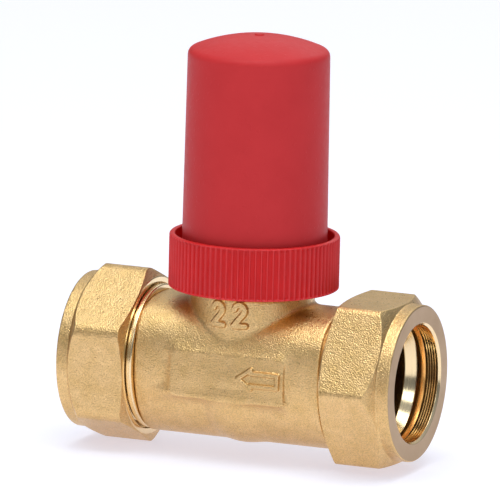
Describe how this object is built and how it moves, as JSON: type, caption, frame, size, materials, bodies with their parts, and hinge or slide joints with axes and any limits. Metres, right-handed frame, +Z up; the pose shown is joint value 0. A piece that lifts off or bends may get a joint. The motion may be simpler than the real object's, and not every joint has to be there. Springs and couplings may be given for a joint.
{
  "type": "lockshield valve",
  "caption": "Straight brass lockshield valve for a heating pipe, with compression nuts and a tall red shield over the key spindle.",
  "frame": {"origin": "where the pipe's centre line crosses the spindle's centre line, inside the body", "axes": "+X along the pipe towards the inlet end, +Z up the spindle towards the shield, +Y away from the side with the arrow"},
  "size_m": [0.069, 0.0348, 0.082],
  "materials": {
    "forged_brass": "shot-blasted forging, fine sparkling grain",
    "turned_brass": "bright turned",
    "olive_copper": "bright turned, copper coloured",
    "cap_red": "satin moulded, fine texture",
    "ring_red": "smooth moulded",
    "seal_rubber": "smooth",
    "gasket_fibre": "pressed fibre",
    "packing_ptfe": "waxy",
    "steel": "bright"
  },
  "bodies": {
    "body": {"valve_body": "forged_brass", "bonnet": "turned_brass", "bonnet_gasket": "gasket_fibre", "packing_washer": "turned_brass", "gland_packing_lower": "packing_ptfe", "gland_packing_upper": "packing_ptfe", "gland_follower": "turned_brass", "gland_nut": "turned_brass"},
    "valve_disc": {"disc_carrier": "turned_brass", "disc_seal": "seal_rubber", "disc_washer": "steel", "disc_screw": "steel", "disc_clip": "steel"},
    "spindle": {"spindle": "turned_brass"},
    "left_olive": {"left_olive": "olive_copper"},
    "left_nut": {"left_nut": "forged_brass"},
    "right_olive": {"right_olive": "olive_copper"},
    "right_nut": {"right_nut": "forged_brass"},
    "shield_seal": {"cap_seal": "seal_rubber"},
    "shield_cap": {"lockshield_cap": "cap_red"},
    "shield_ring": {"retaining_ring": "ring_red"}
  },
  "joints": [
    {"name": "disc_lift", "type": "slide", "parent": "body", "child": "valve_disc", "axis": [0, 0, 1], "range_m": [0, 0.005]},
    {"name": "spindle_turn", "type": "hinge", "parent": "valve_disc", "child": "spindle", "pos_m": [0, 0, 0.03], "axis": [0, 0, 1], "range_deg": [0, 1200]},
    {"name": "left_olive_slide", "type": "slide", "parent": "body", "child": "left_olive", "axis": [-1, 0, 0], "range_m": [0, 0.009]},
    {"name": "left_nut_turn", "type": "hinge", "parent": "left_olive", "child": "left_nut", "pos_m": [-0.027, 0, 0], "axis": [-1, 0, 0], "range_deg": [0, 2160]},
    {"name": "right_olive_slide", "type": "slide", "parent": "body", "child": "right_olive", "axis": [1, 0, 0], "range_m": [0, 0.009]},
    {"name": "right_nut_turn", "type": "hinge", "parent": "right_olive", "child": "right_nut", "pos_m": [0.027, 0, 0], "axis": [1, 0, 0], "range_deg": [0, 2160]},
    {"name": "shield_lift", "type": "slide", "parent": "body", "child": "shield_seal", "axis": [0, 0, 1], "range_m": [0, 0.042]},
    {"name": "shield_rise", "type": "slide", "parent": "shield_seal", "child": "shield_cap", "axis": [0, 0, 1], "range_m": [0, 0.00375]},
    {"name": "ring_turn", "type": "hinge", "parent": "shield_cap", "child": "shield_ring", "pos_m": [0, 0, 0.0208], "axis": [0, 0, 1], "range_deg": [0, 900]}
  ],
  "couplings": [
    {"joint": "spindle_turn", "follows": "disc_lift", "rad_per_m": 4188.8},
    {"joint": "left_olive_slide", "follows": "left_nut_turn", "m_per_rad": 0.00023873},
    {"joint": "right_olive_slide", "follows": "right_nut_turn", "m_per_rad": 0.00023873},
    {"joint": "shield_rise", "follows": "ring_turn", "m_per_rad": 0.00023873}
  ]
}
